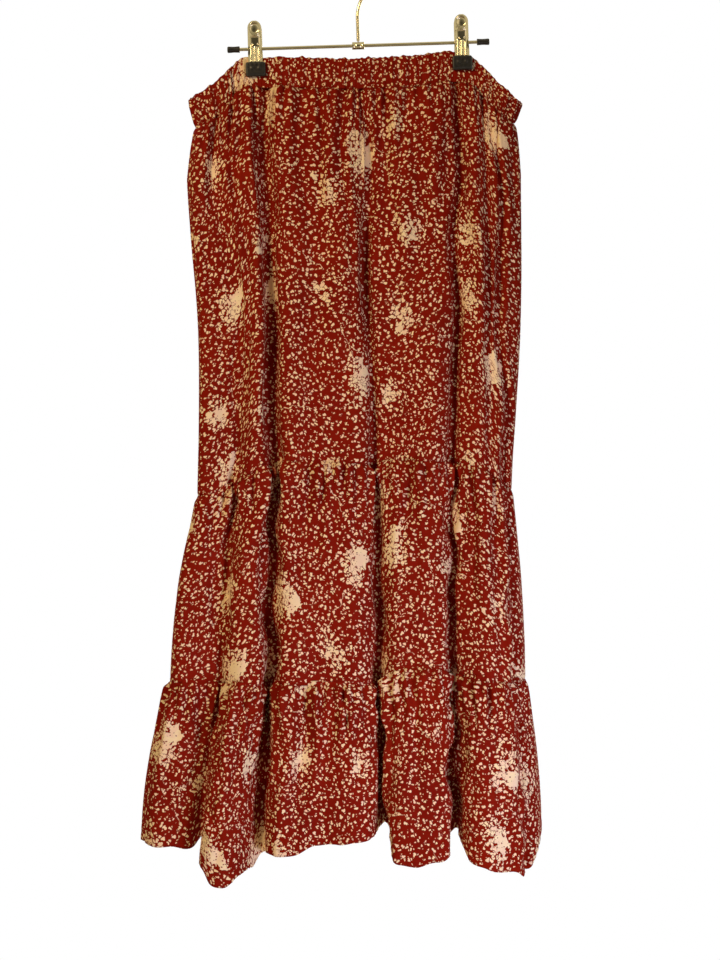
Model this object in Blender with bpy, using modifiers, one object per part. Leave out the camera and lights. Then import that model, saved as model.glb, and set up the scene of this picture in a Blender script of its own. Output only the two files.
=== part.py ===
"""A three-tier ruffle skirt with an elastic waist, hanging from a two-clip hanger.

The origin is the inside of the hook's crown, where the rail bears. +Z is up, the front of the skirt
faces -Y and +X is to the viewer's right. Sizes in the tables are millimetres.

The cloth is described by fold lines that run from the waist to the hem. Each line has its place at six
stations on the way down, and a ring of cloth at any height is a smooth curve through all the lines.
"""

import math
from collections import namedtuple

import bmesh
import bpy
from mathutils import Vector

MM = 0.001

# ---------------------------------------------------------------- cloth sizes
CLOTH = 1.5  # wall of a tier
BAND_WALL = 3.0  # casing, elastic and casing
BAND_WIDTH = 35.0  # height of the waistband
SEAM_GAP = 0.4  # between two pieces that are sewn together
SIDE_GAP = 0.5  # between a front and a back at the side seam
SIDE_STITCH = 0.07  # share of the first section that runs straight on from the side seam

# Heights of the seams midway between the clips, before each fold's own drop.
WAIST_Z, SEAM_1_Z, SEAM_2_Z, HEM_Z = -140.0, -566.0, -810.0, -988.0

# Shares of the first tier's length at which the yoke and the hip stations lie.
YOKE_AT, HIP_AT = 0.14, 0.55

# The stitched edge of a gathered tier hangs straight for this share before it opens out.
STITCHED = 0.015
FLARE = 0.9  # how much faster a lower tier widens at its top than evenly

# Rows of faces down each piece, as shares of its length, closer where the gathers open.
BAND_ROWS = (0.0, 0.5, 1.0)
TIER_1_ROWS = (0.0, STITCHED, 0.05, 0.14, 0.32, 0.55, 0.78, 1.0)
FRILL_ROWS = (0.0, STITCHED, 0.07, 0.2, 0.42, 0.7, 1.0)

# How far round the cloth turns at each kind of line: 1 makes the flank of a fold square to the panel.
ROUNDNESS = {"crest": 1.15, "dip": 0.9, "valley": 0.85, "side": 1.0}
FACE_WIDTH = 15.0  # the widest face across a fold at the hem

Fold = namedtuple("Fold", "kind x y drop lean rise")
# Lines run from the left side across the front to the right side, then across the back.
# x and y are the line's places at the waist, yoke, hip, first seam, second seam and hem.
# drop is how far below the seam's own height it hangs at the waist, first seam, second seam and hem.
# lean and rise take it from the waistband's lower edge to its upper edge.
FRONT = (
    Fold("side", (-177, -189, -177, -177, -208, -240), (0, 0, 2, 4, 10, 22), (48, 36, 0, -4), -9, 33),
    Fold("crest", (-164, -172, -166, -162, -190, -214), (-9, -20, -21, -23, -28, -30), (42, 33, 0, 4), -9, 35),
    Fold("valley", (-147, -150, -127, -131, -152, -172), (-8, -15, -19, -18, -17, -14), (27, 22, 0, 10), -6, 35),
    Fold("crest", (-128, -124, -112, -110, -120, -155), (-2, -18, -27, -32, -46, -60), (4, 8, 2, 45), 0, 35),
    Fold("valley", (-101, -99, -97, -90, -96, -108), (-1.9, -8, -10, -12, -14, -18), (3, -2, 0, 11), 0, 35),
    Fold("crest", (-78, -80, -74, -68, -72, -74), (-3.8, -20, -27, -32, -44, -54), (3, -3, 1, 12), 0, 35),
    Fold("dip", (-40, -38, -38, -36, -40, -44), (-4.6, -18, -24, -29, -40, -46), (4, -3, 1, 0), 0, 35),
    Fold("crest", (-10, -12, -8, -6, -6, -2), (-5, -22, -28, -33, -46, -56), (5, -2, 1, -3), 0, 35),
    Fold("valley", (9, 10, 12, 20, 25, 30), (-4.6, -11, -11, -12, -14, -17), (4, 2, -2, -13), 0, 35),
    Fold("dip", (36, 38, 40, 46, 49, 50), (-5, -16, -20, -23, -40, -62), (3, -3, -16, 20), 0, 35),
    Fold("crest", (78, 80, 84, 82, 86, 90), (-4.2, -21, -28, -32, -45, -62), (0, -4, -17, 16), 0, 35),
    Fold("valley", (105, 114, 113, 107, 107, 111), (-1.9, -8, -10, -12, -14, -18), (-4, -2, -12, -8), 0, 35),
    Fold("crest", (130, 136, 138, 138, 144, 144), (-1.9, -18, -27, -30, -43, -62), (2, 3, -4, 24), 0, 35),
    Fold("crest", (146, 150, 152, 157, 168, 180), (-5, -18, -20, -23, -34, -50), (17, 14, -2, 28), 4, 31),
    Fold("valley", (160, 160, 163, 167, 178, 190), (-8, -12, -11, -12, -12, -10), (31, 24, -2, 20), 8, 27),
)
BACK = (
    Fold("side", (176, 185, 185, 175, 191, 210), (0, 0, 2, 6, 12, 24), (42, 30, -2, -12), 9, 24),
    Fold("crest", (160, 166, 166, 162, 172, 188), (8, 17, 21, 25, 36, 54), (31, 24, 0, -8), 8, 27),
    Fold("valley", (146, 146, 144, 142, 148, 160), (5, 10, 11, 13, 16, 22), (17, 12, 0, -14), 4, 31),
    Fold("crest", (130, 126, 122, 120, 124, 130), (1.9, 18, 26, 31, 45, 62), (2, 2, -2, -4), 0, 35),
    Fold("valley", (105, 98, 94, 88, 90, 92), (1.9, 9, 10, 12, 14, 18), (-4, -2, -2, -14), 0, 35),
    Fold("crest", (78, 72, 66, 60, 60, 58), (3.8, 20, 27, 32, 45, 60), (0, -3, 0, -6), 0, 35),
    Fold("dip", (44, 38, 32, 28, 24, 18), (4.6, 17, 23, 28, 40, 50), (3, -4, 0, -10), 0, 35),
    Fold("crest", (10, 6, 0, -4, -10, -18), (5, 20, 28, 32, 45, 60), (5, -2, 0, -6), 0, 35),
    Fold("valley", (-14, -18, -22, -28, -34, -42), (4.6, 11, 12, 13, 15, 18), (5, -2, 0, -14), 0, 35),
    Fold("crest", (-44, -44, -48, -54, -60, -68), (4.6, 20, 27, 32, 46, 64), (4, -2, 0, -4), 0, 35),
    Fold("crest", (-78, -72, -76, -82, -88, -98), (3.8, 20, 27, 31, 45, 60), (3, -2, 0, -6), 0, 35),
    Fold("valley", (-101, -98, -100, -104, -112, -122), (1.9, 9, 10, 12, 14, 18), (3, 0, 0, -14), 0, 35),
    Fold("crest", (-128, -128, -130, -134, -146, -160), (1.9, 18, 25, 29, 43, 60), (4, 8, 0, -2), 0, 35),
    Fold("valley", (-147, -154, -152, -154, -172, -194), (6, 12, 14, 16, 22, 30), (27, 22, 0, -10), -6, 35),
    Fold("crest", (-164, -174, -168, -167, -194, -222), (8, 17, 19, 21, 32, 48), (42, 33, 0, -8), -9, 35),
)
LINES = FRONT + BACK

# ---------------------------------------------------------------- hanger sizes
HANGER_TILT = math.radians(1.8)  # the right end hangs higher
WIRE_R = 1.9
HOOK_R = 20.0  # middle of the wire in the hook's bow
HOOK_START, HOOK_END = math.radians(-50), math.radians(192)
BAR_Z = -95.0
BAR_LENGTH = 291.0
SLEEVE_R, SLEEVE_LENGTH = 4.2, 14.0
TIP_R, TIP_LENGTH, TIP_WALL = 3.6, 14.0, 1.6
CLEAR = 0.3  # between two hard pieces that touch

CLIP_X = 116.0  # each clip's distance from the hook's stem
CLIP_WALL = 1.0
CLIP_RIM_CLEAR = 2.4  # the rims of a leaf stay this far from the bar's axis plane
GRIP_WIDTH, GRIP_HEIGHT, GRIP_DEPTH = 22.4, 16.0, 5.6
GRIP_TOP = -15.7  # below the bar's axis
SPRING_R, SPRING_BORE, SPRING_LENGTH = 4.2, 2.3, 9.0

# A leaf of a clip from its handle to its jaw: height from the bar's axis, half width, distance of its
# face from the middle plane, and how deep its rims turn in.
LeafRow = namedtuple("LeafRow", "z half face rim")
LEAF = (
    LeafRow(30.0, 2.6, 10.6, 0.3),
    LeafRow(29.2, 4.6, 10.6, 0.8),
    LeafRow(27.0, 6.6, 10.4, 1.6),
    LeafRow(23.0, 7.4, 9.8, 2.4),
    LeafRow(15.0, 7.4, 8.6, 3.0),
    LeafRow(7.0, 7.4, 7.6, 4.0),
    LeafRow(0.0, 7.6, 7.2, 4.8),
    LeafRow(-7.0, 7.6, 7.4, 3.6),
    LeafRow(GRIP_TOP + 0.4, 8.0, 7.6, 3.2),
)
LEAF_COLUMNS = 10
RIM_POWER = 4  # a flat face whose edges turn in sharply


# ---------------------------------------------------------------- materials
def material(name, colour, roughness, metallic=0.0):
    made = bpy.data.materials.new(name)
    made.use_nodes = True
    shader = made.node_tree.nodes["Principled BSDF"]
    shader.inputs["Base Color"].default_value = (*colour, 1.0)
    shader.inputs["Roughness"].default_value = roughness
    shader.inputs["Metallic"].default_value = metallic
    return made


def new_object(name, mesh, finish, collection):
    made = bpy.data.objects.new(name, mesh)
    collection.objects.link(made)
    made.data.materials.append(finish)
    return made


# ---------------------------------------------------------------- fold lines
def between(a, b, share):
    return a + (b - a) * share


def spline(before, start, end, after, share):
    """A Catmull-Rom curve from start to end."""
    slope_0, slope_1 = (end - before) / 2, (after - start) / 2
    return hermite(start, slope_0, end, slope_1, share)


def hermite(start, slope_0, end, slope_1, t):
    return (
        start * (2 * t**3 - 3 * t**2 + 1)
        + slope_0 * (t**3 - 2 * t**2 + t)
        + end * (3 * t**2 - 2 * t**3)
        + slope_1 * (t**3 - t**2)
    )


def opened(share):
    """How far a gathered tier has opened out, from 0 at the stitching to 1 at its lower edge."""
    return max(0.0, share - STITCHED) / (1 - STITCHED)


def burst(share):
    """How far the yoke has swelled out, which it does at once under the waistband."""
    return math.sqrt(opened(share) / opened(YOKE_AT))


def flared(share):
    """How far a lower tier has widened: fast at first and then more evenly."""
    return opened(share) * (1 + FLARE * (1 - opened(share)))


def down_tier_1(values, share):
    waist, yoke, hip, seam = values[:4]
    if share <= YOKE_AT:
        return between(waist, yoke, burst(share))
    if share <= HIP_AT:
        return spline(yoke, yoke, hip, seam, (share - YOKE_AT) / (HIP_AT - YOKE_AT))
    return spline(yoke, hip, seam, seam, (share - HIP_AT) / (1 - HIP_AT))


def band_place(fold, share):
    """A fold line on the waistband, from its upper edge at share 0 to its lower edge at 1."""
    x = fold.x[0] + fold.lean * (1 - share)
    z = WAIST_Z - fold.drop[0] + fold.rise * (1 - share)
    return Vector((x, fold.y[0], z))


def tier_1_place(fold, share):
    top, foot = WAIST_Z - fold.drop[0], SEAM_1_Z - fold.drop[1]
    return Vector((down_tier_1(fold.x, share), down_tier_1(fold.y, share), between(top, foot, share)))


def frill_place(fold, share, station, top_z, foot_z, drop):
    """A fold line on a lower tier, between its station in x and y and the next one."""
    x = between(fold.x[station], fold.x[station + 1], flared(share))
    y = between(fold.y[station], fold.y[station + 1], flared(share))
    return Vector((x, y, between(top_z - fold.drop[drop], foot_z - fold.drop[drop + 1], share)))


def tier_2_place(fold, share):
    return frill_place(fold, share, 3, SEAM_1_Z, SEAM_2_Z, 1)


def tier_3_place(fold, share):
    return frill_place(fold, share, 4, SEAM_2_Z, HEM_Z, 2)


# ---------------------------------------------------------------- rings of cloth
def heading(fold):
    """The way the cloth runs where it passes this line, going round from the left side by the front."""
    onward = 1 if fold in FRONT else -1
    return Vector((0, -onward, 0)) if fold.kind == "side" else Vector((onward, 0, 0))


def on_ring(places, section, share):
    """The point at this share of the section that starts at a line, on the curve through all lines."""
    count = len(LINES)
    here, there = section % count, (section + 1) % count
    start, end = places[here], places[there]
    reach = (end - start).length
    slopes = [heading(LINES[i]) * reach * ROUNDNESS[LINES[i].kind] for i in (here, there)]
    point = hermite(start, slopes[0], end, slopes[1], share)
    chord = (end - start).to_2d()
    across = (point - start).to_2d().dot(chord) / chord.length_squared
    across = min(max(across, 0.0), 1.0)
    point.z = spline(places[here - 1].z, start.z, end.z, places[(there + 1) % count].z, across)
    return point


def face_counts():
    """Faces across each section, from its length at the hem."""
    hem = [tier_3_place(fold, 1.0) for fold in LINES]
    spans = [(hem[(i + 1) % len(hem)] - hem[i]).length for i in range(len(hem))]
    return [max(2, round(span / FACE_WIDTH)) for span in spans]


def columns(first, last, counts):
    """Every (section, share) across a piece that runs from one line to another."""
    stops = [(s, i / counts[s]) for s in range(first, last) for i in range(counts[s])]
    stops += [(first, SIDE_STITCH), (last - 1, 1 - SIDE_STITCH), (last - 1, 1.0)]
    return sorted(stops)


def inset(row):
    """The row with its two ends drawn in from the side seams."""
    for end, neighbour in ((0, 1), (-1, -2)):
        along = (row[neighbour] - row[end]).normalized()
        row[end] = row[end] + along * SIDE_GAP / 2
    return row


def cloth_rows(place, rows, stops, closed):
    """Rows of points down a piece, its top and bottom drawn in from the seams."""
    made = []
    for share in rows:
        places = [place(fold, share) for fold in LINES]
        row = [on_ring(places, section, part) for section, part in stops]
        made.append(row if closed else inset(row))
    for point in made[0]:
        point.z -= SEAM_GAP / 2
    for point in made[-1]:
        point.z += SEAM_GAP / 2
    return made


def cloth(name, place, rows, stops, wall, finish, collection, closed=False):
    """A piece of cloth: a net of faces over its rows, thickened evenly to both sides."""
    net = bmesh.new()
    grid = [[net.verts.new(p * MM) for p in row] for row in cloth_rows(place, rows, stops, closed)]
    across = len(stops) if closed else len(stops) - 1
    for upper, lower in zip(grid, grid[1:]):
        for i in range(across):
            j = (i + 1) % len(stops)
            net.faces.new((upper[i], lower[i], lower[j], upper[j]))
    mesh = bpy.data.meshes.new(name)
    net.to_mesh(mesh)
    net.free()
    mesh.shade_smooth()
    made = new_object(name, mesh, finish, collection)
    thicken = made.modifiers.new("wall", "SOLIDIFY")
    thicken.thickness = wall * MM
    thicken.offset = 0
    return made


def build_skirt(finish, collection):
    counts = face_counts()
    front = columns(0, len(FRONT), counts)
    back = columns(len(FRONT), len(LINES), counts)
    loop = columns(0, len(LINES), counts)[:-1]
    cloth("waistband", band_place, BAND_ROWS, loop, BAND_WALL, finish, collection, closed=True)
    tiers = (
        ("tier_1", tier_1_place, TIER_1_ROWS),
        ("tier_2", tier_2_place, FRILL_ROWS),
        ("tier_3", tier_3_place, FRILL_ROWS),
    )
    for name, place, rows in tiers:
        cloth(name + "_front", place, rows, front, CLOTH, finish, collection)
        cloth(name + "_back", place, rows, back, CLOTH, finish, collection)


# ---------------------------------------------------------------- hanger
def wire(name, points, finish, collection, parent):
    """A round wire through the points."""
    curve = bpy.data.curves.new(name, "CURVE")
    curve.dimensions = "3D"
    curve.bevel_depth = WIRE_R * MM
    curve.bevel_resolution = 2
    curve.use_fill_caps = True
    run = curve.splines.new("POLY")
    run.points.add(len(points) - 1)
    for place, point in zip(run.points, points):
        place.co = (*(point * MM), 1.0)
    made = new_object(name, curve, finish, collection)
    made.parent = parent
    return made


def turned(name, profile, steps, finish, collection, parent):
    """A shape turned about X: (radius, place along X) pairs, closed on themselves."""
    net = bmesh.new()
    ring = [net.verts.new((along * MM, 0, radius * MM)) for radius, along in profile]
    for i, vert in enumerate(ring):
        net.edges.new((vert, ring[(i + 1) % len(ring)]))
    mesh = bpy.data.meshes.new(name)
    net.to_mesh(mesh)
    net.free()
    made = new_object(name, mesh, finish, collection)
    screw = made.modifiers.new("turn", "SCREW")
    screw.axis = "X"
    screw.steps = screw.render_steps = steps
    screw.use_merge_vertices = True
    screw.merge_threshold = 0.00005
    screw.use_smooth_shade = True
    made.parent = parent
    return made


def tube_profile(outer, bore, half):
    return ((bore, -half), (bore, half), (outer, half), (outer, -half))


def hook_points():
    """The stem, a swing out to the right, and the bow over the rail."""
    centre = Vector((0, 0, WIRE_R - HOOK_R))
    stem_foot = Vector((0, 0, BAR_Z + SLEEVE_R + CLEAR))
    stem_top = Vector((0, 0, -64))
    bow = []
    turns = 26
    for i in range(turns + 1):
        angle = between(HOOK_START, HOOK_END, i / turns)
        bow.append(centre + HOOK_R * Vector((math.cos(angle), 0, math.sin(angle))))
    arrive = Vector((-math.sin(HOOK_START), 0, math.cos(HOOK_START)))
    reach = (bow[0] - stem_top).length
    swing = [hermite(stem_top, Vector((0, 0, reach)), bow[0], arrive * reach, i / 9) for i in range(1, 9)]
    stem = [between(stem_foot, stem_top, i / 5) for i in range(6)]
    return stem + swing + bow


def build_hanger_wire(chrome, rubber, collection, hanger):
    half = BAR_LENGTH / 2
    steps = 24
    bar = [Vector((between(-half, half, i / steps), 0, BAR_Z)) for i in range(steps + 1)]
    wire("hanger_bar", bar, chrome, collection, hanger)
    wire("hanger_hook", hook_points(), chrome, collection, hanger)
    sleeve_profile = tube_profile(SLEEVE_R, WIRE_R + CLEAR, SLEEVE_LENGTH / 2)
    sleeve = turned("hook_sleeve", sleeve_profile, 24, chrome, collection, hanger)
    sleeve.location = (0, 0, BAR_Z * MM)
    bore = WIRE_R + CLEAR
    for side, name in ((-1, "bar_tip_left"), (1, "bar_tip_right")):
        depth = TIP_LENGTH - TIP_WALL
        inside = ((bore, 0), (bore, depth), (0, depth))
        outside = ((0, TIP_LENGTH), (TIP_R - 1, TIP_LENGTH), (TIP_R, TIP_LENGTH - 1), (TIP_R, 0))
        cup = (*inside, *outside)
        tip = turned(name, cup, 20, rubber, collection, hanger)
        tip.location = (side * (half - depth + CLEAR) * MM, 0, BAR_Z * MM)
        if side < 0:
            tip.rotation_euler.z = math.pi


def leaf(name, finish, collection, parent):
    """A stamped leaf of a clip, its rims turned in towards the bar."""
    net = bmesh.new()
    grid = []
    for row in LEAF:
        verts = []
        for i in range(LEAF_COLUMNS + 1):
            across = 2 * i / LEAF_COLUMNS - 1
            turned_in = row.rim * abs(across) ** RIM_POWER
            depth = -max(row.face - turned_in, CLIP_RIM_CLEAR + CLIP_WALL / 2)
            verts.append(net.verts.new(Vector((across * row.half, depth, row.z)) * MM))
        grid.append(verts)
    for upper, lower in zip(grid, grid[1:]):
        for i in range(LEAF_COLUMNS):
            net.faces.new((upper[i], lower[i], lower[i + 1], upper[i + 1]))
    mesh = bpy.data.meshes.new(name)
    net.to_mesh(mesh)
    net.free()
    mesh.shade_smooth()
    made = new_object(name, mesh, finish, collection)
    thicken = made.modifiers.new("wall", "SOLIDIFY")
    thicken.thickness = CLIP_WALL * MM
    thicken.offset = 0
    made.parent = parent
    return made


def grip(name, finish, collection, parent):
    """The rubber grip on a jaw, which bears on the waistband."""
    net = bmesh.new()
    bmesh.ops.create_cube(net, size=1.0)
    bmesh.ops.scale(net, vec=Vector((GRIP_WIDTH, GRIP_DEPTH, GRIP_HEIGHT)) * MM, verts=net.verts)
    mesh = bpy.data.meshes.new(name)
    net.to_mesh(mesh)
    net.free()
    made = new_object(name, mesh, finish, collection)
    band_face = 1.9 + BAND_WALL / 2
    made.location = Vector((0, -(band_face + CLEAR + GRIP_DEPTH / 2), GRIP_TOP - GRIP_HEIGHT / 2)) * MM
    edges = made.modifiers.new("edges", "BEVEL")
    edges.width = 1.6 * MM
    edges.segments = 2
    made.parent = parent
    return made


def build_clip(name, x, chrome, rubber, collection, hanger):
    """Two leaves back to back, a grip on each jaw and the spring round the bar between them."""
    for face, turn in (("front", 0.0), ("back", math.pi)):
        half = bpy.data.objects.new(name + "_" + face, None)
        collection.objects.link(half)
        half.parent = hanger
        half.location = Vector((x, 0, BAR_Z)) * MM
        half.rotation_euler.z = turn
        leaf(name + "_leaf_" + face, chrome, collection, half)
        grip(name + "_grip_" + face, rubber, collection, half)
    profile = tube_profile(SPRING_R, SPRING_BORE, SPRING_LENGTH / 2)
    spring = turned(name + "_spring", profile, 20, chrome, collection, hanger)
    spring.location = Vector((x, 0, BAR_Z)) * MM


def main():
    for old in list(bpy.data.objects):
        bpy.data.objects.remove(old)
    collection = bpy.data.collections.new("tiered_skirt")
    bpy.context.scene.collection.children.link(collection)
    print_cloth = material("printed_viscose", (0.29, 0.026, 0.012), 0.75)
    chrome = material("chromed_steel", (0.62, 0.59, 0.52), 0.18, metallic=1.0)
    rubber = material("black_rubber", (0.016, 0.015, 0.013), 0.55)
    build_skirt(print_cloth, collection)
    hanger = bpy.data.objects.new("hanger", None)
    collection.objects.link(hanger)
    hanger.rotation_euler.y = -HANGER_TILT
    build_hanger_wire(chrome, rubber, collection, hanger)
    build_clip("clip_left", -CLIP_X, chrome, rubber, collection, hanger)
    build_clip("clip_right", CLIP_X, chrome, rubber, collection, hanger)


main()
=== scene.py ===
"""The looks of a three-tier ruffle skirt with an elastic waist, held by a two-clip wire hanger.

Lengths are millimetres in the row's frame until a mesh is made: +Z up, the front of the skirt towards
-Y, +X to the viewer's right, and the origin inside the hook's crown.
"""

import math
from collections import namedtuple

import bmesh
import bpy
import numpy as np
from mathutils import Matrix, Vector


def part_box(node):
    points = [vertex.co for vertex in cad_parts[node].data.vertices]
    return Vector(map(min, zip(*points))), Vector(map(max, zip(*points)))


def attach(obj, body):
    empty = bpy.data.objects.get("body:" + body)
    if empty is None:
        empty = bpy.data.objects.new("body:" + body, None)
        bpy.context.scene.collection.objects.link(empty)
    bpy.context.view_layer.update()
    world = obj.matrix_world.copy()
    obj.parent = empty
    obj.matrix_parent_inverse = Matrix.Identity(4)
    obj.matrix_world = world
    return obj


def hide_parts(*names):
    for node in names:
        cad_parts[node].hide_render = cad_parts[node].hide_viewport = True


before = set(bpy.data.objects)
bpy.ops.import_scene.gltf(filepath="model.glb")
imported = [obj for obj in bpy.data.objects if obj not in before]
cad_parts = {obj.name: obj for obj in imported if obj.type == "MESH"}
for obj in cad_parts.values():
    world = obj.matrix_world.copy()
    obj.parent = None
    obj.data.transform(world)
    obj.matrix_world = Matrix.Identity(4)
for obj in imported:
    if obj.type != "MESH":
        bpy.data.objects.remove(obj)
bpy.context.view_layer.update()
MM = 0.001

# ---------------------------------------------------------------- the skirt's fold lines
# Heights of the seams midway between the clips, before each fold's own drop.
WAIST_Z, SEAM_1_Z, SEAM_2_Z, HEM_Z = -140.0, -566.0, -810.0, -988.0
YOKE_AT, HIP_AT = 0.14, 0.55  # shares of the first tier's length
FLARE = 0.9  # how much faster a lower tier widens at its top than evenly

# How flat the cloth lies at each kind of line, at the waist and at the hem: the higher, the broader the
# crest or the floor and the steeper the flanks beside it.
FLATNESS = {
    "crest": (1.6, 1.5),
    "dip": (1.1, 1.0),
    "gully": (1.8, 0.7),
    "valley": (0.9, 0.5),
    "side": (1.0, 1.0),
}

Fold = namedtuple("Fold", "kind x y drop lean rise", defaults=(0, 35))
# Lines run from the left side across the front to the right side, then across the back.
# x and y are the line's places at the waist, yoke, hip, first seam, second seam and hem.
# drop is how far below the seam's own height it hangs at the waist, first seam, second seam and hem.
# lean and rise take it from the waistband's lower edge to its upper edge, and most lines go straight up.
FRONT = (
    ("side", (-177, -189, -177, -177, -208, -240), (0, 0, 2, 4, 10, 22), (48, 36, 0, -4), -9, 33),
    ("crest", (-164, -172, -166, -162, -190, -214), (-9, -20, -21, -23, -28, -30), (42, 33, 0, 4), -9, 35),
    ("valley", (-147, -150, -127, -131, -152, -172), (-8, -15, -19, -18, -17, -14), (27, 22, 0, 10), -6, 35),
    ("crest", (-128, -124, -112, -110, -120, -155), (-2, -18, -27, -32, -46, -60), (4, 8, 2, 45)),
    ("gully", (-101, -99, -97, -90, -96, -108), (-1.9, -8, -10, -12, -14, -18), (3, -2, 0, 11)),
    ("crest", (-78, -80, -74, -68, -72, -74), (-3.8, -20, -27, -32, -44, -54), (3, -3, 1, 12)),
    ("dip", (-40, -38, -38, -36, -40, -44), (-4.6, -18, -24, -29, -40, -46), (4, -3, 1, 0)),
    ("crest", (-10, -12, -8, -6, -6, -2), (-5, -22, -28, -33, -46, -56), (5, -2, 1, -3)),
    ("valley", (9, 10, 12, 20, 25, 30), (-4.6, -11, -11, -12, -14, -17), (4, 2, -2, -13)),
    ("dip", (36, 38, 40, 46, 49, 50), (-5, -16, -20, -23, -40, -62), (3, -3, -16, 20)),
    ("crest", (78, 80, 84, 82, 86, 90), (-4.2, -21, -28, -32, -45, -62), (0, -4, -17, 16)),
    ("valley", (105, 114, 113, 107, 107, 111), (-1.9, -8, -10, -12, -14, -18), (-4, -2, -12, -8)),
    ("crest", (130, 136, 138, 138, 144, 144), (-1.9, -18, -27, -30, -43, -62), (2, 3, -4, 24)),
    ("crest", (146, 150, 152, 157, 168, 180), (-5, -18, -20, -23, -34, -50), (17, 14, -2, 28), 4, 31),
    ("valley", (160, 160, 163, 167, 178, 190), (-8, -12, -11, -12, -12, -10), (31, 24, -2, 20), 8, 27),
)
BACK = (
    ("side", (176, 185, 185, 175, 191, 210), (0, 0, 2, 6, 12, 24), (42, 30, -2, -12), 9, 24),
    ("crest", (160, 166, 166, 162, 172, 188), (8, 17, 21, 25, 36, 54), (31, 24, 0, -8), 8, 27),
    ("valley", (146, 146, 144, 142, 148, 160), (5, 10, 11, 13, 16, 22), (17, 12, 0, -14), 4, 31),
    ("crest", (130, 126, 122, 120, 124, 130), (1.9, 18, 26, 31, 45, 62), (2, 2, -2, -4)),
    ("valley", (105, 98, 94, 88, 90, 92), (1.9, 9, 10, 12, 14, 18), (-4, -2, -2, -14)),
    ("crest", (78, 72, 66, 60, 60, 58), (3.8, 20, 27, 32, 45, 60), (0, -3, 0, -6)),
    ("dip", (44, 38, 32, 28, 24, 18), (4.6, 17, 23, 28, 40, 50), (3, -4, 0, -10)),
    ("crest", (10, 6, 0, -4, -10, -18), (5, 20, 28, 32, 45, 60), (5, -2, 0, -6)),
    ("valley", (-14, -18, -22, -28, -34, -42), (4.6, 11, 12, 13, 15, 18), (5, -2, 0, -14)),
    ("crest", (-44, -44, -48, -54, -60, -68), (4.6, 20, 27, 32, 46, 64), (4, -2, 0, -4)),
    ("crest", (-78, -72, -76, -82, -88, -98), (3.8, 20, 27, 31, 45, 60), (3, -2, 0, -6)),
    ("valley", (-101, -98, -100, -104, -112, -122), (1.9, 9, 10, 12, 14, 18), (3, 0, 0, -14)),
    ("crest", (-128, -128, -130, -134, -146, -160), (1.9, 18, 25, 29, 43, 60), (4, 8, 0, -2)),
    ("valley", (-147, -154, -152, -154, -172, -194), (6, 12, 14, 16, 22, 30), (27, 22, 0, -10), -6, 35),
    ("crest", (-164, -174, -168, -167, -194, -222), (8, 17, 19, 21, 32, 48), (42, 33, 0, -8), -9, 35),
)
FRONT, BACK = (tuple(Fold(*line) for line in side) for side in (FRONT, BACK))
LINES = FRONT + BACK
COUNT = len(LINES)
FOLD_X = np.array([fold.x for fold in LINES], float)
FOLD_Y = np.array([fold.y for fold in LINES], float)
FOLD_DROP = np.array([fold.drop for fold in LINES], float)
FOLD_LEAN = np.array([fold.lean for fold in LINES], float)
FOLD_RISE = np.array([fold.rise for fold in LINES], float)
FOLD_FLAT = np.array([FLATNESS[fold.kind] for fold in LINES])

# ---------------------------------------------------------------- cloth sizes
CLOTH = 0.7  # wall of a tier
THREAD_COLUMN = 2.5  # between two columns of the cloth's net
THREAD_ROW, HEM_ROW = 3.8, 2.9  # between two rows, and in a tier with a hem
CURVE_SPARE = 1.25  # a curve between two lines is up to this much longer than its chord
STITCH_UP, STITCH_WIDE = 9, 2.2  # the groove that the hem's stitches pull, up from the edge
SEAM_TUCK = 5.0  # seam allowance hidden behind the tier above
TUCK_DEPTH = 1.5  # how far behind

# Puckers below a gathered seam, each set with its own spacing, height and length down the cloth.
Pucker = namedtuple("Pucker", "spacing height reach")
FRILL_PUCKERS = (
    Pucker(8.5, 1.1, 22),
    Pucker(13, 2.5, 46),
    Pucker(25, 2.3, 95),
    Pucker(48, 1.7, 260),
)
YOKE_PUCKERS = (
    Pucker(7.5, 0.7, 26),
    Pucker(12, 1.05, 62),
    Pucker(21, 1.75, 140),
    Pucker(40, 2.1, 330),
)


# ---------------------------------------------------------------- curves
def hermite(start, slope_0, end, slope_1, t):
    return (
        start * (2 * t**3 - 3 * t**2 + 1)
        + slope_0 * (t**3 - 2 * t**2 + t)
        + end * (3 * t**2 - 2 * t**3)
        + slope_1 * (t**3 - t**2)
    )


def spline(before, start, end, after, share):
    """A Catmull-Rom curve from start to end."""
    return hermite(start, (end - before) / 2, end, (after - start) / 2, share)


def between(a, b, share):
    return a + (b - a) * share


def ease(value, low, high):
    """0 below low, 1 above high and smooth between."""
    share = np.clip((value - low) / (high - low), 0, 1)
    return share * share * (3 - 2 * share)


def burst(share):
    """How far the yoke has swelled out, which it does at once under the waistband."""
    return math.sqrt(max(0.0, share) / YOKE_AT)


def flared(share):
    """How far a lower tier has widened: fast at first and then more evenly."""
    return share * (1 + FLARE * (1 - share))


def wave(along, spacing, seed):
    """A ripple of uneven height and spacing, about 1 high, drawn afresh for each seed."""
    draw = np.random.default_rng(seed)
    parts = 6
    total = 0.0
    for _ in range(parts):
        pitch = spacing * draw.uniform(0.72, 1.5)
        total = total + np.sin(2 * math.pi * along / pitch + draw.uniform(0, 2 * math.pi))
    return total / math.sqrt(parts / 2)


# ---------------------------------------------------------------- where the cloth hangs
def down_tier_1(values, share):
    waist, yoke, hip, seam = values[:, :4].T
    if share <= YOKE_AT:
        return between(waist, yoke, burst(share))
    if share <= HIP_AT:
        return spline(yoke, yoke, hip, seam, (share - YOKE_AT) / (HIP_AT - YOKE_AT))
    return spline(yoke, hip, seam, seam, (share - HIP_AT) / (1 - HIP_AT))


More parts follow.
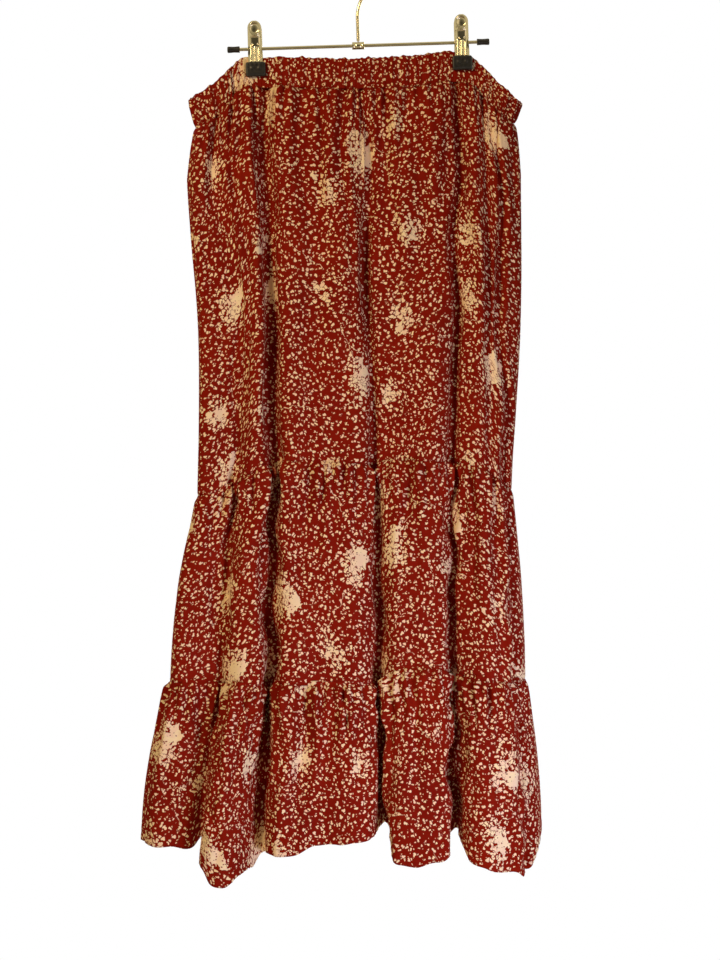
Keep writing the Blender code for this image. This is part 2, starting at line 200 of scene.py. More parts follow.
def band_lines(share):
    """Every line's place on the waistband, from its upper edge at 0 to its lower edge at 1."""
    x = FOLD_X[:, 0] + FOLD_LEAN * (1 - share)
    z = WAIST_Z - FOLD_DROP[:, 0] + FOLD_RISE * (1 - share)
    return np.stack((x, FOLD_Y[:, 0], z), axis=1)


def tier_1_lines(share):
    z = between(WAIST_Z - FOLD_DROP[:, 0], SEAM_1_Z - FOLD_DROP[:, 1], share)
    return np.stack((down_tier_1(FOLD_X, share), down_tier_1(FOLD_Y, share), z), axis=1)


def frill_lines(share, station, top_z, foot_z, drop):
    x = between(FOLD_X[:, station], FOLD_X[:, station + 1], flared(share))
    y = between(FOLD_Y[:, station], FOLD_Y[:, station + 1], flared(share))
    z = between(top_z - FOLD_DROP[:, drop], foot_z - FOLD_DROP[:, drop + 1], share)
    return np.stack((x, y, z), axis=1)


def tier_2_lines(share):
    return frill_lines(share, 3, SEAM_1_Z, SEAM_2_Z, 1)


def tier_3_lines(share):
    return frill_lines(share, 4, SEAM_2_Z, HEM_Z, 2)


HEADING = np.array(
    [
        (0, -1 if fold in FRONT else 1, 0) if fold.kind == "side" else (1 if fold in FRONT else -1, 0, 0)
        for fold in LINES
    ],
    float,
)


def ring(places, section, share):
    """Points round the cloth on the smooth curve through all the lines' places at one height."""
    here, there = section % COUNT, (section + 1) % COUNT
    start, end = places[here], places[there]
    reach = np.linalg.norm(end - start, axis=1)[:, None]
    height = np.clip((WAIST_Z - places[:, 2]) / (WAIST_Z - HEM_Z), 0, 1)
    flat = between(FOLD_FLAT[:, 0], FOLD_FLAT[:, 1], height)[:, None]
    slope_0 = HEADING[here] * reach * flat[here]
    slope_1 = HEADING[there] * reach * flat[there]
    points = hermite(start, slope_0, end, slope_1, share[:, None])
    chord = (end - start)[:, :2]
    across = np.sum((points - start)[:, :2] * chord, axis=1) / np.sum(chord * chord, axis=1)
    z = places[:, 2]
    points[:, 2] = spline(z[here - 1], z[here], z[there], z[(there + 1) % COUNT], np.clip(across, 0, 1))
    return points


def stops(first, last):
    """Every section and share across a piece that runs from one line to another."""
    hem = tier_3_lines(1.0)
    spans = np.linalg.norm(np.roll(hem, -1, axis=0) - hem, axis=1)
    counts = [max(8, round(CURVE_SPARE * spans[s % COUNT] / THREAD_COLUMN)) for s in range(first, last)]
    section = np.concatenate([np.full(n, s) for s, n in zip(range(first, last), counts)])
    share = np.concatenate([np.arange(n) / n for n in counts])
    return np.append(section, last - 1), np.append(share, 1.0)


def lengths(points, axis):
    """Distance travelled along one axis of a net of points."""
    steps = np.linalg.norm(np.diff(points, axis=axis), axis=2)
    start = np.zeros_like(np.take(steps, [0], axis=axis))
    return np.concatenate((start, np.cumsum(steps, axis=axis)), axis=axis)


def outward(points):
    """The net's normals, which face out of the skirt."""
    normal = np.cross(np.gradient(points, axis=0), np.gradient(points, axis=1))
    return normal / np.linalg.norm(normal, axis=2)[..., None]


# ---------------------------------------------------------------- creases placed one by one
Crease = namedtuple("Crease", "top foot start end depth width")
# top and foot are x at the panel's upper and lower edge, start and end are shares of the panel's length
# between which it runs, depth is below the cloth and width is half its breadth.
TIER_1_CREASES = {
    "front": (
        (-101, -91, -0.3, 1.6, 7.0, 7),
        (10, 19, -0.3, 1.6, 5.5, 5),
        (115, 108, -0.3, 1.6, 6.0, 5),
        (158, 166, -0.2, 1.6, 5.0, 4),
        (-118, -138, 0.45, 1.6, 3.0, 4),
        (-38, -44, 0.02, 0.42, 3.2, 5),
        (-56, -52, 0.04, 0.20, 2.2, 4),
        (-22, -30, 0.10, 0.78, 1.6, 7),
        (54, 50, 0.01, 0.24, 3.0, 4),
        (80, 76, 0.01, 0.30, 2.6, 4.5),
        (92, 98, 0.12, 0.86, 1.8, 7),
        (64, 62, 0.30, 0.92, 1.6, 8),
        (-135, -126, 0.04, 0.30, 3.2, 4),
        (-152, -146, 0.02, 0.22, 3.4, 4),
        (-168, -158, 0.10, 0.60, 2.2, 7),
        (-150, -150, 0.45, 0.95, 2.0, 6),
        (142, 146, 0.10, 0.90, 2.4, 4),
        (126, 124, 0.20, 0.74, 1.6, 6),
        (-64, -60, 0.42, 0.95, 1.6, 7),
    ),
    "back": (
        (-60, -58, 0.02, 0.40, 3.0, 5),
        (-24, -30, 0.06, 0.70, 2.0, 6),
        (26, 14, 0.02, 0.34, 3.0, 4.5),
        (54, 46, 0.20, 0.90, 1.8, 7),
        (92, 76, 0.04, 0.50, 2.6, 5),
        (-120, -118, 0.10, 0.80, 2.2, 6),
        (118, 108, 0.04, 0.44, 2.4, 5),
        (-90, -94, 0.40, 0.96, 1.8, 7),
    ),
}

GATHER_LEAN, GATHER_WIDTH = 0.03, 3.0
GATHER_STRETCH = (1.0, 0.75, 1.2, 0.85, 1.1, 0.7, 0.95, 1.15)  # makes neighbours unlike each other


def gathers(places, end, depth):
    """Short sharp creases just under a seam, where the gathering bunches the cloth."""
    return tuple(
        (x, x * (1 + GATHER_LEAN), 0.0, end * stretch, depth * stretch, GATHER_WIDTH)
        for x, stretch in zip(places, GATHER_STRETCH * 3)
    )


TIER_2_CREASES = {
    "front": (
        *gathers((-160, -124, -82, -50, -38, -13, 43, 58, 74, 90, 132, 148), 0.26, 3.0),
        (-91, -97, -0.3, 1.6, 6.5, 6),
        (22, 26, -0.3, 1.6, 5.5, 5),
        (108, 108, -0.3, 1.6, 6.0, 5),
        (169, 178, -0.2, 1.6, 5.0, 4),
        (-138, -148, -0.2, 1.6, 3.0, 4),
        (-178, -192, 0.03, 0.80, 2.6, 6),
        (-150, -164, 0.10, 0.95, 2.4, 6),
        (-112, -116, 0.02, 0.60, 2.4, 5),
        (-52, -54, 0.04, 0.90, 2.2, 7),
        (-20, -22, 0.02, 0.56, 2.4, 6),
        (64, 66, 0.02, 0.84, 2.4, 6),
        (88, 92, 0.05, 0.40, 2.0, 5),
        (130, 134, 0.04, 0.92, 2.4, 5),
        (150, 160, 0.10, 0.80, 2.0, 6),
    ),
    "back": (
        *gathers((-128, -106, -64, -30, -10, 24, 56, 92, 116, 146), 0.26, 3.0),
        (-44, -50, 0.02, 0.70, 2.6, 6),
        (-84, -90, 0.04, 0.90, 2.2, 6),
        (-140, -156, 0.02, 0.80, 2.4, 6),
        (10, 4, 0.03, 0.84, 2.2, 6),
        (44, 44, 0.04, 0.60, 2.6, 6),
        (72, 76, 0.10, 0.94, 2.2, 6),
        (130, 136, 0.02, 0.80, 2.4, 6),
    ),
}
TIER_3_CREASES = {
    "front": (
        *gathers((-186, -140, -122, -74, -50, -40, -18, -7, 48, 58, 80, 132, 146, 164), 0.36, 3.6),
        (-98, -107, -0.3, 1.6, 6.0, 5),
        (27, 31, -0.3, 1.8, 6.5, 4.5),
        (107, 111, -0.3, 1.8, 6.5, 5),
        (180, 190, -0.2, 1.6, 5.0, 5),
        (-150, -158, -0.2, 1.6, 3.0, 4),
        (-196, -222, 0.03, 0.90, 3.0, 6),
        (-172, -190, 0.02, 0.70, 2.6, 6),
        (-128, -136, 0.04, 0.84, 3.0, 6),
        (-58, -60, 0.02, 0.92, 2.8, 7),
        (-30, -28, 0.04, 0.60, 2.4, 6),
        (2, 8, 0.05, 0.90, 2.4, 6),
        (66, 70, 0.03, 0.95, 2.8, 6),
        (126, 126, 0.04, 0.80, 2.4, 6),
        (152, 160, 0.03, 0.94, 3.0, 6),
    ),
    "back": (
        *gathers((-146, -104, -62, -44, 4, 18, 50, 92, 112, 124, 166), 0.36, 3.6),
        (-160, -176, 0.02, 0.86, 2.8, 7),
        (-78, -84, 0.04, 0.94, 2.8, 7),
        (-22, -30, 0.03, 0.70, 2.6, 6),
        (30, 34, 0.02, 0.90, 2.8, 7),
        (76, 76, 0.06, 0.80, 2.6, 6),
        (142, 150, 0.03, 0.90, 2.8, 6),
    ),
}

# Where the hem swings up or down between two folds: x, how far up, half its breadth and the panels' names.
Swing = namedtuple("Swing", "x up width sides")
HEM_SWINGS = (
    Swing(-171, 17, 7, ("front",)),
    Swing(-115, -13, 7, ("front",)),
    Swing(33, 10, 6, ("front", "back")),
    Swing(113, 7, 6, ("front", "back")),
    Swing(196, -12, 12, ("front",)),
)


def crease_depth(points, share, creases, seed):
    """How far the creases sink each point of a panel's net below its surface."""
    total = np.zeros(points.shape[:2])
    for number, crease in enumerate(Crease(*row) for row in creases):
        line = between(crease.top, crease.foot, share)
        line = line + 2.5 * wave(share * 400, 160, seed + number)
        off = (points[..., 0] - line) / crease.width
        length = crease.end - crease.start
        fade = ease(share, crease.start, crease.start + 0.22 * length)
        fade = fade * (1 - ease(share, crease.end - 0.5 * length, crease.end))
        total += crease.depth * fade * (np.exp(-(off**2)) - 0.45 * np.exp(-((np.abs(off) - 1.9) ** 2)))
    return total


def pucker_height(cut, down, puckers, seed):
    """The height of the gathers at each point: cut is across the cloth, down is below the seam."""
    total = np.zeros(down.shape)
    for number, pucker in enumerate(puckers):
        start = seed + 10 * number
        drift = 0.16 * pucker.reach * wave(down, 3.2 * pucker.reach, start) * ease(down, 0, pucker.reach)
        length = pucker.reach * (0.85 + 0.35 * wave(cut, 2.4 * pucker.spacing, start + 1))
        fade = np.exp(-((down / np.maximum(length, 0.35 * pucker.reach)) ** 1.4))
        total += pucker.height * fade * wave(cut + 0.35 * drift, pucker.spacing, start + 2)
    return total * (0.25 + 0.75 * ease(down, 0, 7))


# ---------------------------------------------------------------- meshes
def new_piece(name, mesh, materials, node):
    """An object that stands for a CAD node and rides on the body."""
    made = bpy.data.objects.new(name, mesh)
    bpy.context.scene.collection.objects.link(made)
    for material in materials:
        made.data.materials.append(material)
    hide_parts(node)
    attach(made, "root")
    return made


def net_faces(rows, columns, closed):
    """The quads of a net, whose last column may join its first."""
    faces = []
    for r in range(rows - 1):
        for c in range(columns if closed else columns - 1):
            n = (c + 1) % columns
            faces.append((r * columns + c, (r + 1) * columns + c, (r + 1) * columns + n, r * columns + n))
    return faces


def net_mesh(name, points, across, down, closed=False):
    """A mesh over a net of points, with the cut cloth's own flat plan, in metres, as its UV map."""
    rows, columns = points.shape[:2]
    faces = net_faces(rows, columns, closed)
    plan = []
    for face in faces:
        last = face[0] % columns == columns - 1
        for corner in face:
            row, column = divmod(corner, columns)
            wrap = last and column == 0
            u = across[row, column] + wrap * (across[row, -1] + THREAD_COLUMN)
            plan.append((u * MM, down[row, column] * -MM))
    mesh = bpy.data.meshes.new(name)
    mesh.from_pydata((points * MM).reshape(-1, 3).tolist(), [], faces)
    layer = mesh.uv_layers.new(name="cut")
    layer.data.foreach_set("uv", np.array(plan, np.float32).ravel())
    mesh.shade_smooth()
    return mesh


def add_attribute(mesh, name, values):
    layer = mesh.attributes.new(name, "FLOAT", "POINT")
    layer.data.foreach_set("value", np.asarray(values, np.float32).ravel())


def mend(mesh, merge=None):
    """Join points that lie within merge of each other, and turn every face outwards."""
    net = bmesh.new()
    net.from_mesh(mesh)
    if merge:
        bmesh.ops.remove_doubles(net, verts=net.verts, dist=merge)
    bmesh.ops.recalc_face_normals(net, faces=net.faces)
    net.to_mesh(mesh)
    net.free()


def thicken(piece, wall, inside_offset):
    """Give a sheet its wall, with a material that many slots further on for its inside."""
    wall_up = piece.modifiers.new("wall", "SOLIDIFY")
    wall_up.thickness = wall * MM
    wall_up.offset = 0
    wall_up.use_even_offset = False
    wall_up.material_offset = inside_offset


Tier = namedtuple("Tier", "name lines length puckers creases puff calm hemmed plan")
# length is down the cut cloth, puff how far the cloth swells just below the seam, calm how far in from a
# side seam the gathers reach their full height, and plan where the piece lies on the printed cloth.
TIERS = (
    Tier("tier_1", tier_1_lines, 424, YOKE_PUCKERS, TIER_1_CREASES, 3.4, 12, False, (0, 0)),
    Tier("tier_2", tier_2_lines, 244, FRILL_PUCKERS, TIER_2_CREASES, 3.0, 55, False, (1300, 700)),
    Tier("tier_3", tier_3_lines, 186, FRILL_PUCKERS, TIER_3_CREASES, 3.2, 55, True, (2700, 1500)),
)
PANELS = (("front", 0, len(FRONT)), ("back", len(FRONT), COUNT))
PANEL_APART = 620  # from the front to the back panel on the printed cloth


def tier_points(tier, side, first, last, seed):
    """The net of one panel: its folds, then its creases and the puckers under its seam."""
    section, part = stops(first, last)
    rows = round(tier.length / (HEM_ROW if tier.hemmed else THREAD_ROW))
    shares = np.linspace(0, 1, rows) ** 1.15
    points = np.stack([ring(tier.lines(s), section, part) for s in shares])
    normal = outward(points)
    cut = np.broadcast_to(lengths(points, 1)[-1], points.shape[:2])
    down = lengths(points, 0)
    up = down[-1] - down
    share = np.broadcast_to(shares[:, None], down.shape)
    edge = np.minimum(cut, cut[0, -1] - cut)
    free = 0.15 + 0.85 * ease(edge, 0, tier.calm)
    puff = tier.puff * (0.3 + 0.7 * ease(down, 0, 9)) * np.exp(-((down / 42) ** 1.5))
    height = puff * free + pucker_height(cut, down, tier.puckers, seed) * free
    height -= crease_depth(points, share, tier.creases[side], seed + 200) * free
    height += 0.8 * wave(cut + 0.2 * down, 70, seed + 90) * ease(down, 20, 90) * free
    if tier.hemmed:
        stitch = np.exp(-(((up - STITCH_UP) / STITCH_WIDE) ** 2))
        height += 0.35 * wave(cut, 9, seed + 91) * ease(20 - up, 0, 14) - 0.5 * stitch
    else:
        height -= 1.0 * (1 - ease(up, 0, 5))
    points = points + normal * height[..., None]
    if tier.hemmed:
        points[..., 2] += 0.9 * wave(cut, 34, seed + 92) * ease(share, 0.6, 1)
        for swing in HEM_SWINGS:
            if side in swing.sides:
                near = np.exp(-(((points[..., 0] - swing.x) / swing.width) ** 2))
                points[..., 2] += swing.up * near * ease(share, 0.5, 1)
    widths = lengths(points, 1)
    cut = np.broadcast_to(widths[rows // 3 :].mean(axis=0), points.shape[:2])
    lift = np.linspace(SEAM_TUCK, SEAM_TUCK / 4, 3)[:, None, None]
    behind = points[:1] - normal[:1] * TUCK_DEPTH + lift * np.array((0, 0, 1.0))
    points = np.concatenate((behind, points))
    cut = np.concatenate((cut[:3], cut))
    down = np.concatenate((-lift[..., 0] * np.ones_like(cut[:3]), down))
    return points, cut, down


def build_tiers(cloth, reverse):
    for number, tier in enumerate(TIERS):
        for turn, (side, first, last) in enumerate(PANELS):
            seed = 1000 * number + 500 * turn + 7
            points, cut, down = tier_points(tier, side, first, last, seed)
            u, v = tier.plan
            name = tier.name + "_" + side + "_cloth"
            mesh = net_mesh(name, points, cut + u + PANEL_APART * turn, down + v)
            gathered = np.exp(-((np.maximum(down, 0) / 26) ** 1.3)) * ease(down, -1, 3)
            add_attribute(mesh, "gathered", gathered)
            piece = new_piece(name, mesh, (cloth, reverse), tier.name + "_" + side)
            thicken(piece, CLOTH, 1)


# ---------------------------------------------------------------- waistband
BAND_COLUMN = 1.4  # between two columns
BAND_HALF = 1.25  # from the middle of the casing to its face
BAND_FALL = 35  # from the upper edge to the lower
BAND_ROWS_OUT, BAND_ROWS_END, BAND_ROWS_IN = 20, 5, 9
BAND_STITCHES = (0.16, 0.90)  # shares of the height where the casing is sewn
BAND_FINE, BAND_COARSE, BAND_BROAD, BAND_EDGE = 6.2, 11, 30, 8  # spacings of the ripples
BAND_FULLNESS = 1.25  # printed cloth to a millimetre of the casing
BAND_PLAN = (655, 2300)  # where the piece lies on the printed cloth
PRESSED = (9, 15)  # from a clip's middle: the jaws press the band to here, and let go of it by here
LOOSE = (115, 150)  # from the skirt's middle: past the clips nothing pulls the band flat


def build_waistband(cloth):
    """A casing turned over elastic: an outer face, a rounded top, an inner face and a seam below."""
    section, part = stops(0, COUNT)
    section, part = section[:-1], part[:-1]
    casing = np.stack([ring(band_lines(s), section, part) for s in np.linspace(0, 1, 5)])
    closed = np.concatenate((casing, casing[:, :1]), axis=1)
    along = lengths(closed, 1)[2]
    count = round(along[-1] / BAND_COLUMN)
    wanted = np.arange(count) * along[-1] / count
    even = np.stack(
        [np.stack([np.interp(wanted, along, row[:, axis]) for axis in range(3)], axis=1) for row in closed]
    )
    padded = np.concatenate((even[:, -3:], even, even[:, :3]), axis=1)
    normal = outward(padded)[:, 3:-3]
    loop = wanted / wanted[-1] * 2 * math.pi

    def ruck(spacing, seed):
        """A ripple that meets itself round the loop."""
        draw = np.random.default_rng(seed)
        turns = round(along[-1] / spacing)
        total = 0.0
        for _ in range(7):
            step = round(turns * draw.uniform(0.68, 1.4))
            total = total + np.sin(step * loop + draw.uniform(0, 2 * math.pi))
        return total / math.sqrt(3.5)

    fine, coarse, broad = ruck(BAND_FINE, 11), ruck(BAND_COARSE, 12), ruck(BAND_BROAD, 13)
    scallop = 0.3 * ruck(BAND_EDGE, 14) + 0.4 * coarse + 0.45 * broad
    clip_x = [middle("clip_" + side + "_grip_front").x for side in ("left", "right")]
    from_clip = np.min([np.abs(even[2, :, 0] - x) for x in clip_x], axis=0)
    pressed = 1 - ease(from_clip, *PRESSED)
    loose = ease(np.abs(even[2, :, 0]), *LOOSE)

    def at(share):
        place = share * 4
        low = min(3, int(place))
        off = place - low
        return between(even[low], even[low + 1], off), between(normal[low], normal[low + 1], off)

    rows, downs = [], []

    def face(shares, side, seed):
        for share in shares:
            point, out = at(share)
            bulge = math.sin(math.pi * min(max(share, 0.0), 1.0)) ** 0.5
            turn = 2.2 * share + seed
            slant = fine * math.cos(turn) + ruck(BAND_FINE, 21 + seed) * math.sin(turn)
            ripple = (0.55 * slant + 0.62 * coarse + 0.45 * broad) * (1 + 0.9 * loose)
            groove = sum(math.exp(-(((share - stitch) / 0.03) ** 2)) for stitch in BAND_STITCHES)
            height = BAND_HALF + (0.25 + 0.75 * bulge) * (ripple + 0.35) - 0.35 * groove
            height = height * (1 - 0.75 * pressed) + 1.0 * pressed
            rows.append(point + out * side * np.clip(height, 0.4, 3.8)[:, None])
            downs.append(share * BAND_FALL * side)

    def end(share, down_sign):
        point, out = at(share)
        for step in range(BAND_ROWS_END):
            angle = math.pi * (step + 0.5) / BAND_ROWS_END
            side, over = math.cos(angle) * down_sign, math.sin(angle) * down_sign
            lift = (BAND_HALF * over * 0.8 + scallop * abs(over)) * (1 - 0.6 * pressed)
            rows.append(point + out * side * BAND_HALF + np.array((0, 0, 1.0)) * lift[:, None])
            downs.append(0 if down_sign > 0 else BAND_FALL)

    face(np.linspace(0.03, 0.97, BAND_ROWS_OUT)[::-1], 1, 0)
    end(0.03, 1)
    face(np.linspace(0.05, 0.95, BAND_ROWS_IN), -1, 1)
    end(0.97, -1)
    points = np.stack(rows)[::-1]
    down = np.array(downs, float)[::-1, None] * np.ones((1, count))
    points = np.concatenate((points, points[:1]))
    down = np.concatenate((down, down[:1])) + BAND_PLAN[1]
    across = np.broadcast_to(wanted * BAND_FULLNESS, down.shape) + BAND_PLAN[0]
    mesh = net_mesh("waistband_cloth", points, across, down, closed=True)
    mend(mesh, merge=1e-6)
    add_attribute(mesh, "gathered", np.full(len(mesh.vertices), 0.8))
    piece = new_piece("waistband_cloth", mesh, (cloth,), "waistband")


# ---------------------------------------------------------------- hanger
WIRE_R = 1.9
HOOK_R = 20.0  # middle of the wire in the hook's bow
HOOK_START, HOOK_END = math.radians(-50), math.radians(192)
STEM_TOP = -64.0  # where the stem leaves the straight, below the bow
SLEEVE_R, SLEEVE_LENGTH, PINCH_AT = 4.2, 14.0, 3.6
TIP_R, TIP_LENGTH, TIP_ROUND, TIP_WALL = 3.6, 14.0, 1.4, 1.6
CLEAR = 0.3

# A leaf of a clip, measured from the bar's axis: the round top of the handle, its straight sides, and
# where the jaw's grip covers it.
LEAF_TOP, LEAF_HALF, LEAF_FOOT = 30.0, 7.4, -15.3
LEAF_WALL = 0.9
LEAF_ROWS, TOP_ROWS, LEAF_COLUMNS = 120, 26, 48
PAD_Z, PAD_WIDE, PAD_TALL = 21.6, 5.2, 6.2  # the finger pad, an oval dish inside a raised ring
SHOULDER_Z = 12.5  # below it the leaf steps in to a flat neck
FLUTE_TOP, FLUTE_SPACING = 3.0, 4.9  # three flutes stiffen the jaw
DIMPLE_X, DIMPLE_Z = 3.3, 4.5
GRIP_WIDTH, GRIP_HEIGHT, GRIP_DEPTH = 22.4, 16.0, 5.6
GRIP_ROUND, GRIP_CUTS = 1.9, 30
BOSS_X, BOSS_Z = 4.1, 1.2
LIP_Z = -6.2  # a groove sets off the lip below it

# Height from the bar's axis, distance of the leaf's face from the middle plane, and how deep its rims
# turn in.
LEAF_Z = (-15.3, -7.0, 0.0, 7.0, 15.0, 23.0, 30.0)
LEAF_FACE = (7.6, 7.4, 7.2, 7.6, 8.6, 9.8, 10.6)
LEAF_RIM = (3.2, 3.6, 4.8, 4.0, 3.0, 2.4, 0.5)


def middle(node):
    low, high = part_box(node)
    return (low + high) / 2 / MM


def hanger_axes(origin):
    """A frame at a point of the hanger: X along the bar, Y to the back and Z up the stem."""
    along = (middle("clip_right_spring") - middle("clip_left_spring")).normalized()
    back = Vector((0, 1, 0))
    axes = Matrix((along, back, along.cross(back))).transposed().to_4x4()
    return Matrix.Translation(origin) @ axes


def solid_piece(name, mesh, material, node, place):
    """A hard piece, made in millimetres about its own frame."""
    mesh.transform(Matrix.Scale(MM, 4) @ place)
    mesh.shade_smooth()
    return new_piece(name, mesh, (material,), node)


def grid_mesh(name, points, closed=False, capped=False):
    """A mesh over rows of points, each a list as long as the others."""
    rows, columns = len(points), len(points[0])
    faces = net_faces(rows, columns, closed)
    if capped:
        faces.append(tuple(range(columns)))
        faces.append(tuple(reversed(range((rows - 1) * columns, rows * columns))))
    mesh = bpy.data.meshes.new(name)
    mesh.from_pydata([tuple(point) for row in points for point in row], [], faces)
    return mesh


def leaf_height(x, z):
    """How far the stamped leaf stands proud of its plain face: pad, ring, shoulder, dimples, flutes."""
    oval = math.hypot(x / PAD_WIDE, (z - PAD_Z) / PAD_TALL)
    proud = 1.0 * math.exp(-(((oval - 1.14) / 0.17) ** 2))
    proud -= 1.3 * max(0.0, 1 - oval**2) ** 0.7
    proud -= 0.7 * float(ease(SHOULDER_Z - z, -0.6, 0.6))
    for side in (-1, 1):
        proud -= 0.9 * math.exp(-(((x - DIMPLE_X * side) / 0.7) ** 2 + ((z - DIMPLE_Z) / 0.9) ** 2))
    flute = math.cos(2 * math.pi * x / FLUTE_SPACING)
    return proud + 0.62 * flute * float(ease(FLUTE_TOP - z, 0, 3)) * (1 - abs(x / LEAF_HALF) ** 6)


def build_leaf(name, node, steel, place):
    """A stamped leaf: a round top, rims turned in towards the bar and the stamped relief."""
    rows = []
    for r in range(LEAF_ROWS + 1):
        turn = math.radians(10) + math.radians(80) * min(1.0, r / TOP_ROWS)
        fall = max(0, r - TOP_ROWS) / (LEAF_ROWS - TOP_ROWS)
        round_z = LEAF_TOP - LEAF_HALF + LEAF_HALF * math.cos(turn)
        z = between(LEAF_TOP - LEAF_HALF, LEAF_FOOT, fall) if fall else round_z
        half = LEAF_HALF * math.sin(turn) + 0.6 * fall
        face = float(np.interp(z, LEAF_Z, LEAF_FACE))
        rim = float(np.interp(z, LEAF_Z, LEAF_RIM)) * (half / LEAF_HALF)
        row = []
        for c in range(LEAF_COLUMNS + 1):
            across = math.sin(math.pi * (c / LEAF_COLUMNS - 0.5))
            depth = max(face - rim * abs(across) ** 5, 2.9)
            row.append((across * half, -depth - leaf_height(across * half, z) * (1 - across**8), z))
        rows.append(row)
    leaf = solid_piece(name, grid_mesh(name, rows), steel, node, place)
    thicken(leaf, LEAF_WALL, 0)
    edge = leaf.modifiers.new("edge", "BEVEL")
    edge.width = 0.2 * MM
    edge.segments = 2
    edge.angle_limit = math.radians(50)


def build_grip(name, node, rubber, place):
    """A moulded rubber grip: rounded edges, a lip round the steel, two bosses and faint ribs."""
    half = Vector((GRIP_WIDTH, GRIP_DEPTH, GRIP_HEIGHT)) / 2
    net = bmesh.new()
    bmesh.ops.create_cube(net, size=2.0)
    bmesh.ops.subdivide_edges(net, edges=net.edges, cuts=GRIP_CUTS, use_grid_fill=True)
    for vert in net.verts:
        spread = Vector([math.sin(v * math.pi / 2) for v in vert.co])
        corner = Vector([v * h for v, h in zip(spread, half)])
        core = Vector([max(-h + GRIP_ROUND, min(h - GRIP_ROUND, v)) for v, h in zip(corner, half)])
        beyond = corner - core
        point = core + beyond.normalized() * min(GRIP_ROUND, beyond.length) if beyond.length else core
        if point.y < 0:
            for side in (-1, 1):
                boss = ((point.x - BOSS_X * side) / 1.35) ** 2 + ((point.z - BOSS_Z) / 1.6) ** 2
                point.y -= 0.75 * math.exp(-boss) * (vert.co.y < 0)
            rib = 0.5 + 0.5 * math.cos(2 * math.pi * point.x / FLUTE_SPACING)
            point.y -= 0.22 * rib * float(ease(point.z, 1.0, 5.0)) * float(ease(9 - abs(point.x), 0, 2))
            point.y += 0.5 * math.exp(-(((point.z - LIP_Z) / 0.55) ** 2))
        point.x *= 1 - 0.02 * float(ease(point.z, 2, 8))
        vert.co = point
    mesh = bpy.data.meshes.new(name)
    net.to_mesh(mesh)
    net.free()
    solid_piece(name, mesh, rubber, node, place)


def turned_piece(name, profile, material, node, place, dent=None):
    """A shape turned about its own X axis; the profile is (radius, place along X) pairs, closed."""
    sides = 48
    circles = []
    for radius, along in (*profile, profile[0]):
        circle = []
        for i in range(sides):
            angle = 2 * math.pi * i / sides
            r = radius - (dent(angle, along) if dent and radius > 1 else 0)
            circle.append((along, r * math.cos(angle), r * math.sin(angle)))
        circles.append(circle)
    mesh = grid_mesh(name, circles, closed=True)
    mend(mesh, merge=1e-4)
    mesh.set_sharp_from_angle(angle=math.radians(50))
    solid_piece(name, mesh, material, node, place)


def wire_piece(name, points, radius, material, node, place):
    """A round wire through the points, with rounded ends."""
    sides = 20
    path = [Vector(point) for point in points]
    first, last = (path[0] - path[1]).normalized(), (path[-1] - path[-2]).normalized()
    caps = [(math.sin(a), math.cos(a)) for a in (0.0, 0.5, 1.0, 1.45)]
    stations = [(path[0] + first * radius * (out - 1), size * radius) for size, out in caps]
    stations += [(point, radius) for point in path[1:-1]]
    stations += [(path[-1] + last * radius * (out - 1), size * radius) for size, out in reversed(caps)]
    circles = []
    side = Vector((0, 1, 0))
    for i, (point, size) in enumerate(stations):
        before, after = stations[max(0, i - 1)][0], stations[min(len(stations) - 1, i + 1)][0]
        run = (after - before).normalized()
        side = (side - run * side.dot(run)).normalized()
        other = run.cross(side)
        turns = [2 * math.pi * k / sides for k in range(sides)]
        circles.append([point + (side * math.cos(t) + other * math.sin(t)) * max(size, 0.05) for t in turns])
    mesh = grid_mesh(name, circles, closed=True, capped=True)
    mend(mesh)
    solid_piece(name, mesh, material, node, place)


def hook_points():
    """The stem, a swing out to the right, and the bow over the rail."""
    centre = Vector((0, 0, WIRE_R - HOOK_R))
    foot = Vector((0, 0, SLEEVE_R + CLEAR - middle("hook_sleeve").length))
    top = Vector((0, 0, STEM_TOP))
    bow = []
    for i in range(61):
        angle = between(HOOK_START, HOOK_END, i / 60)
        bow.append(centre + HOOK_R * Vector((math.cos(angle), 0, math.sin(angle))))
    arrive = Vector((-math.sin(HOOK_START), 0, math.cos(HOOK_START)))
    reach = (bow[0] - top).length
    swing = [hermite(top, Vector((0, 0, reach)), bow[0], arrive * reach, i / 24) for i in range(1, 24)]
    stem = [between(foot, top, i / 8) for i in range(9)]
    return stem + swing + bow


def spring_points():
    """The coils of the clip's spring, wound round the bar."""
    radius, length, turns, steps = 3.5, 7.6, 6, 26
    coil = []
    for i in range(turns * steps + 1):
        angle = 2 * math.pi * i / steps
        along = length * (i / (turns * steps) - 0.5)
        coil.append((along, radius * math.sin(angle), -radius * math.cos(angle)))
    return coil


def build_wires(steel, bar):
    """The hook's wire, and the bar's, which ends inside the tips."""
    wire_piece("hook_wire", hook_points(), WIRE_R, steel, "hanger_hook", hanger_axes((0, 0, 0)))
    into_tip = TIP_LENGTH / 2 - TIP_WALL - CLEAR
    left, right = (
        (middle(tip) - middle("hook_sleeve")).length + into_tip for tip in ("bar_tip_left", "bar_tip_right")
    )
    steps = 60
    run = [(between(-left, right, i / steps), 0, 0) for i in range(steps + 1)]
    wire_piece("bar_wire", run, WIRE_R, steel, "hanger_bar", bar)


